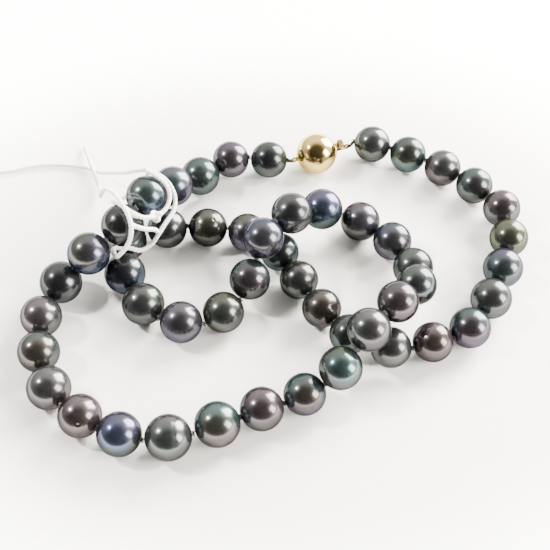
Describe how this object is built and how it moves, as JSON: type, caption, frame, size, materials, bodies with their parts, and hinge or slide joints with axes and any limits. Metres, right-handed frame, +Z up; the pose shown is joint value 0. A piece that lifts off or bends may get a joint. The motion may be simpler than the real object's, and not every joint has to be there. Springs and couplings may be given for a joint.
{
  "type": "pearl necklace",
  "caption": "Single strand of knotted dark pearls with a gold ball clasp and a white tag string, lying in a loose heap.",
  "frame": {"origin": "middle of the heap's footprint, on the table it lies on", "axes": "+Z up from the table, +X along the heap's longer side, +Y away from the front"},
  "size_m": [0.1245, 0.0866, 0.0209],
  "materials": {
    "nacre": "dark pearl nacre with a high lustre and green, violet, blue-grey and bronze overtones",
    "gold": null,
    "silk": "dark twisted silk thread",
    "cotton": "white twisted cotton string"
  },
  "bodies": {
    "strand": {"clasp_ball": "gold", "silk_main": "silk", "tag_string_tie": "cotton", "tag_string_tail": "cotton"},
    "arm": {"silk_arm": "silk", "clasp_tongue": "gold"},
    "spring_leaf": {"clasp_spring_leaf": "gold"},
    "ring_left": {"ring_left": "gold"},
    "ring_right": {"ring_right": "gold"},
    "pearl_01": {"pearl_01": "nacre"},
    "pearl_02": {"pearl_02": "nacre"},
    "pearl_03": {"pearl_03": "nacre"},
    "pearl_04": {"pearl_04": "nacre"},
    "pearl_05": {"pearl_05": "nacre"},
    "pearl_06": {"pearl_06": "nacre"},
    "pearl_07": {"pearl_07": "nacre"},
    "pearl_08": {"pearl_08": "nacre"},
    "pearl_09": {"pearl_09": "nacre"},
    "pearl_10": {"pearl_10": "nacre"},
    "pearl_11": {"pearl_11": "nacre"},
    "pearl_12": {"pearl_12": "nacre"},
    "pearl_13": {"pearl_13": "nacre"},
    "pearl_14": {"pearl_14": "nacre"},
    "pearl_15": {"pearl_15": "nacre"},
    "pearl_16": {"pearl_16": "nacre"},
    "pearl_17": {"pearl_17": "nacre"},
    "pearl_18": {"pearl_18": "nacre"},
    "pearl_19": {"pearl_19": "nacre"},
    "pearl_20": {"pearl_20": "nacre"},
    "pearl_21": {"pearl_21": "nacre"},
    "pearl_22": {"pearl_22": "nacre"},
    "pearl_23": {"pearl_23": "nacre"},
    "pearl_24": {"pearl_24": "nacre"},
    "pearl_25": {"pearl_25": "nacre"},
    "pearl_26": {"pearl_26": "nacre"},
    "pearl_27": {"pearl_27": "nacre"},
    "pearl_28": {"pearl_28": "nacre"},
    "pearl_29": {"pearl_29": "nacre"},
    "pearl_30": {"pearl_30": "nacre"},
    "pearl_31": {"pearl_31": "nacre"},
    "pearl_32": {"pearl_32": "nacre"},
    "pearl_33": {"pearl_33": "nacre"},
    "pearl_34": {"pearl_34": "nacre"},
    "pearl_35": {"pearl_35": "nacre"},
    "pearl_36": {"pearl_36": "nacre"},
    "pearl_37": {"pearl_37": "nacre"},
    "pearl_38": {"pearl_38": "nacre"},
    "pearl_39": {"pearl_39": "nacre"},
    "pearl_40": {"pearl_40": "nacre"},
    "pearl_41": {"pearl_41": "nacre"},
    "pearl_42": {"pearl_42": "nacre"},
    "pearl_43": {"pearl_43": "nacre"},
    "pearl_44": {"pearl_44": "nacre"},
    "pearl_45": {"pearl_45": "nacre"},
    "pearl_46": {"pearl_46": "nacre"},
    "pearl_47": {"pearl_47": "nacre"},
    "pearl_48": {"pearl_48": "nacre"},
    "pearl_49": {"pearl_49": "nacre"},
    "pearl_50": {"pearl_50": "nacre"},
    "pearl_51": {"pearl_51": "nacre"}
  },
  "joints": [
    {"name": "strand_swing", "type": "hinge", "parent": "strand", "child": "arm", "pos_m": [0.03387, -0.01535, 0.00415], "axis": [0, 0, -1], "range_deg": [0, 20]},
    {"name": "trigger_press", "type": "hinge", "parent": "arm", "child": "spring_leaf", "pos_m": [0.00671, 0.03479, 0.0048], "axis": [-0.3746, 0.9272, 0], "range_deg": [0, 5], "stiffness_Nm_per_rad": 0.2},
    {"name": "ring_left_twist", "type": "hinge", "parent": "strand", "child": "ring_left", "pos_m": [0.00289, 0.03324, 0.00465], "axis": [0.9272, 0.3746, 0], "range_deg": [-15, 15]},
    {"name": "ring_right_twist", "type": "hinge", "parent": "arm", "child": "ring_right", "pos_m": [0.01526, 0.03824, 0.0041], "axis": [0.9272, 0.3746, 0], "range_deg": [-15, 15]},
    {"name": "pearl_01_spin", "type": "hinge", "parent": "arm", "child": "pearl_01", "pos_m": [0.0213, 0.03885, 0.00422], "axis": [0.9722, -0.2338, 0.0077], "continuous": true},
    {"name": "pearl_02_spin", "type": "hinge", "parent": "arm", "child": "pearl_02", "pos_m": [0.0294, 0.03545, 0.0042], "axis": [0.8978, -0.4403, -0.0035], "continuous": true},
    {"name": "pearl_03_spin", "type": "hinge", "parent": "arm", "child": "pearl_03", "pos_m": [0.037, 0.03115, 0.00416], "axis": [0.823, -0.568, -0.0041], "continuous": true},
    {"name": "pearl_04_spin", "type": "hinge", "parent": "arm", "child": "pearl_04", "pos_m": [0.0436, 0.02565, 0.00413], "axis": [0.6894, -0.7244, -0.0011], "continuous": true},
    {"name": "pearl_05_spin", "type": "hinge", "parent": "arm", "child": "pearl_05", "pos_m": [0.0488, 0.01875, 0.00414], "axis": [0.3344, -0.9424, 0.002], "continuous": true},
    {"name": "pearl_06_spin", "type": "hinge", "parent": "arm", "child": "pearl_06", "pos_m": [0.0491, 0.01015, 0.00417], "axis": [-0.1274, -0.9918, 0.0056], "continuous": true},
    {"name": "pearl_07_spin", "type": "hinge", "parent": "arm", "child": "pearl_07", "pos_m": [0.04662, 0.00175, 0.00423], "axis": [-0.3468, -0.9379, 0.0067], "continuous": true},
    {"name": "pearl_08_spin", "type": "hinge", "parent": "arm", "child": "pearl_08", "pos_m": [0.043, -0.00635, 0.00428], "axis": [-0.4968, -0.8679, -0.0015], "continuous": true},
    {"name": "pearl_09_spin", "type": "hinge", "parent": "arm", "child": "pearl_09", "pos_m": [0.0378, -0.01365, 0.00421], "axis": [-0.7732, -0.6341, -0.0108], "continuous": true},
    {"name": "pearl_10_spin", "type": "hinge", "parent": "strand", "child": "pearl_10", "pos_m": [0.02995, -0.01705, 0.0041], "axis": [-0.9608, -0.2771, -0.0039], "continuous": true},
    {"name": "pearl_11_spin", "type": "hinge", "parent": "strand", "child": "pearl_11", "pos_m": [0.0215, -0.01835, 0.00414], "axis": [-0.9934, 0.1143, -0.0001], "continuous": true},
    {"name": "pearl_12_spin", "type": "hinge", "parent": "strand", "child": "pearl_12", "pos_m": [0.0134, -0.01515, 0.0041], "axis": [-0.8127, 0.5827, -0.0035], "continuous": true},
    {"name": "pearl_13_spin", "type": "hinge", "parent": "strand", "child": "pearl_13", "pos_m": [0.00804, -0.0087, 0.00408], "axis": [-0.5829, 0.8125, 0.0005], "continuous": true},
    {"name": "pearl_14_spin", "type": "hinge", "parent": "strand", "child": "pearl_14", "pos_m": [0.0035, -0.00135, 0.00411], "axis": [-0.4985, 0.8669, 0.0046], "continuous": true},
    {"name": "pearl_15_spin", "type": "hinge", "parent": "strand", "child": "pearl_15", "pos_m": [-0.0005, 0.00615, 0.00416], "axis": [-0.6488, 0.7609, 0.0065], "continuous": true},
    {"name": "pearl_16_spin", "type": "hinge", "parent": "strand", "child": "pearl_16", "pos_m": [-0.0075, 0.01155, 0.00422], "axis": [-0.9156, 0.4021, 0.0042], "continuous": true},
    {"name": "pearl_17_spin", "type": "hinge", "parent": "strand", "child": "pearl_17", "pos_m": [-0.01611, 0.01301, 0.00423], "axis": [-0.998, 0.0627, 0.0074], "continuous": true},
    {"name": "pearl_18_spin", "type": "hinge", "parent": "strand", "child": "pearl_18", "pos_m": [-0.025, 0.01265, 0.00435], "axis": [-0.9763, -0.2164, 0.0081], "continuous": true},
    {"name": "pearl_19_spin", "type": "hinge", "parent": "strand", "child": "pearl_19", "pos_m": [-0.0335, 0.00915, 0.00438], "axis": [-0.5391, -0.8423, 0.0017], "continuous": true},
    {"name": "pearl_20_spin", "type": "hinge", "parent": "strand", "child": "pearl_20", "pos_m": [-0.033, 0.00015, 0.00437], "axis": [0.2822, -0.9594, 0.0021], "continuous": true},
    {"name": "pearl_21_spin", "type": "hinge", "parent": "strand", "child": "pearl_21", "pos_m": [-0.0285, -0.00785, 0.00441], "axis": [0.7071, -0.7071, -0.0022], "continuous": true},
    {"name": "pearl_22_spin", "type": "hinge", "parent": "strand", "child": "pearl_22", "pos_m": [-0.0205, -0.01235, 0.00434], "axis": [0.9927, -0.1203, -0.009], "continuous": true},
    {"name": "pearl_23_spin", "type": "hinge", "parent": "strand", "child": "pearl_23", "pos_m": [-0.012, -0.00985, 0.00426], "axis": [0.8225, 0.5543, 0.1274], "continuous": true},
    {"name": "pearl_24_spin", "type": "hinge", "parent": "strand", "child": "pearl_24", "pos_m": [-0.0067, -0.00305, 0.00647], "axis": [0.4679, 0.7625, 0.4468], "continuous": true},
    {"name": "pearl_25_spin", "type": "hinge", "parent": "strand", "child": "pearl_25", "pos_m": [-0.0039, 0.00335, 0.012], "axis": [0.5187, 0.787, 0.3342], "continuous": true},
    {"name": "pearl_26_spin", "type": "hinge", "parent": "strand", "child": "pearl_26", "pos_m": [0.002, 0.01015, 0.01208], "axis": [0.7168, 0.6599, -0.2255], "continuous": true},
    {"name": "pearl_27_spin", "type": "hinge", "parent": "strand", "child": "pearl_27", "pos_m": [0.0087, 0.01495, 0.00804], "axis": [0.8595, 0.2601, -0.4399], "continuous": true},
    {"name": "pearl_28_spin", "type": "hinge", "parent": "strand", "child": "pearl_28", "pos_m": [0.0172, 0.01475, 0.0043], "axis": [0.9083, -0.3489, -0.2306], "continuous": true},
    {"name": "pearl_29_spin", "type": "hinge", "parent": "strand", "child": "pearl_29", "pos_m": [0.0238, 0.00915, 0.0042], "axis": [0.6031, -0.7963, 0.0458], "continuous": true},
    {"name": "pearl_30_spin", "type": "hinge", "parent": "strand", "child": "pearl_30", "pos_m": [0.0275, 0.00115, 0.00508], "axis": [0.189, -0.9331, 0.3059], "continuous": true},
    {"name": "pearl_31_spin", "type": "hinge", "parent": "strand", "child": "pearl_31", "pos_m": [0.027, -0.00665, 0.00938], "axis": [-0.2975, -0.851, 0.4328], "continuous": true},
    {"name": "pearl_32_spin", "type": "hinge", "parent": "strand", "child": "pearl_32", "pos_m": [0.0225, -0.01315, 0.01235], "axis": [-0.6201, -0.7677, 0.1616], "continuous": true},
    {"name": "pearl_33_spin", "type": "hinge", "parent": "strand", "child": "pearl_33", "pos_m": [0.0165, -0.01965, 0.01212], "axis": [-0.6527, -0.7208, -0.2333], "continuous": true},
    {"name": "pearl_34_spin", "type": "hinge", "parent": "strand", "child": "pearl_34", "pos_m": [0.011, -0.02585, 0.00824], "axis": [-0.7047, -0.5443, -0.4552], "continuous": true},
    {"name": "pearl_35_spin", "type": "hinge", "parent": "strand", "child": "pearl_35", "pos_m": [0.0042, -0.02915, 0.00417], "axis": [-0.8896, -0.3914, -0.2352], "continuous": true},
    {"name": "pearl_36_spin", "type": "hinge", "parent": "strand", "child": "pearl_36", "pos_m": [-0.004, -0.03245, 0.00428], "axis": [-0.9264, -0.3762, 0.0141], "continuous": true},
    {"name": "pearl_37_spin", "type": "hinge", "parent": "strand", "child": "pearl_37", "pos_m": [-0.0123, -0.03585, 0.00442], "axis": [-0.9413, -0.3374, 0.0094], "continuous": true},
    {"name": "pearl_38_spin", "type": "hinge", "parent": "strand", "child": "pearl_38", "pos_m": [-0.0213, -0.03865, 0.00445], "axis": [-0.994, -0.1092, -0.0062], "continuous": true},
    {"name": "pearl_39_spin", "type": "hinge", "parent": "strand", "child": "pearl_39", "pos_m": [-0.0305, -0.03785, 0.00431], "axis": [-0.9635, 0.2674, -0.0103], "continuous": true},
    {"name": "pearl_40_spin", "type": "hinge", "parent": "strand", "child": "pearl_40", "pos_m": [-0.03828, -0.03394, 0.00427], "axis": [-0.8232, 0.5677, 0.0022], "continuous": true},
    {"name": "pearl_41_spin", "type": "hinge", "parent": "strand", "child": "pearl_41", "pos_m": [-0.045, -0.02785, 0.00435], "axis": [-0.5656, 0.8247, -0.002], "continuous": true},
    {"name": "pearl_42_spin", "type": "hinge", "parent": "strand", "child": "pearl_42", "pos_m": [-0.04823, -0.01942, 0.00423], "axis": [-0.229, 0.9734, -0.006], "continuous": true},
    {"name": "pearl_43_spin", "type": "hinge", "parent": "strand", "child": "pearl_43", "pos_m": [-0.049, -0.01085, 0.00424], "axis": [0.1233, 0.9923, 0.0114], "continuous": true},
    {"name": "pearl_44_spin", "type": "hinge", "parent": "strand", "child": "pearl_44", "pos_m": [-0.0461, -0.00225, 0.00443], "axis": [0.5837, 0.703, 0.4063], "continuous": true},
    {"name": "pearl_45_spin", "type": "hinge", "parent": "strand", "child": "pearl_45", "pos_m": [-0.0397, 0.00035, 0.01072], "axis": [0.7381, 0.4564, 0.4969], "continuous": true},
    {"name": "pearl_46_spin", "type": "hinge", "parent": "strand", "child": "pearl_46", "pos_m": [-0.033, 0.00585, 0.01325], "axis": [0.6138, 0.7812, 0.1134], "continuous": true},
    {"name": "pearl_47_spin", "type": "hinge", "parent": "strand", "child": "pearl_47", "pos_m": [-0.0287, 0.01435, 0.01275], "axis": [0.4794, 0.8362, -0.2663], "continuous": true},
    {"name": "pearl_48_spin", "type": "hinge", "parent": "strand", "child": "pearl_48", "pos_m": [-0.024, 0.02155, 0.00825], "axis": [0.5304, 0.728, -0.4344], "continuous": true},
    {"name": "pearl_49_spin", "type": "hinge", "parent": "strand", "child": "pearl_49", "pos_m": [-0.0185, 0.02835, 0.00439], "axis": [0.6888, 0.6888, -0.2261], "continuous": true},
    {"name": "pearl_50_spin", "type": "hinge", "parent": "strand", "child": "pearl_50", "pos_m": [-0.0117, 0.03385, 0.00421], "axis": [0.9449, 0.3271, -0.0103], "continuous": true},
    {"name": "pearl_51_spin", "type": "hinge", "parent": "strand", "child": "pearl_51", "pos_m": [-0.0029, 0.03375, 0.00422], "axis": [0.9969, -0.0721, 0.032], "continuous": true}
  ]
}
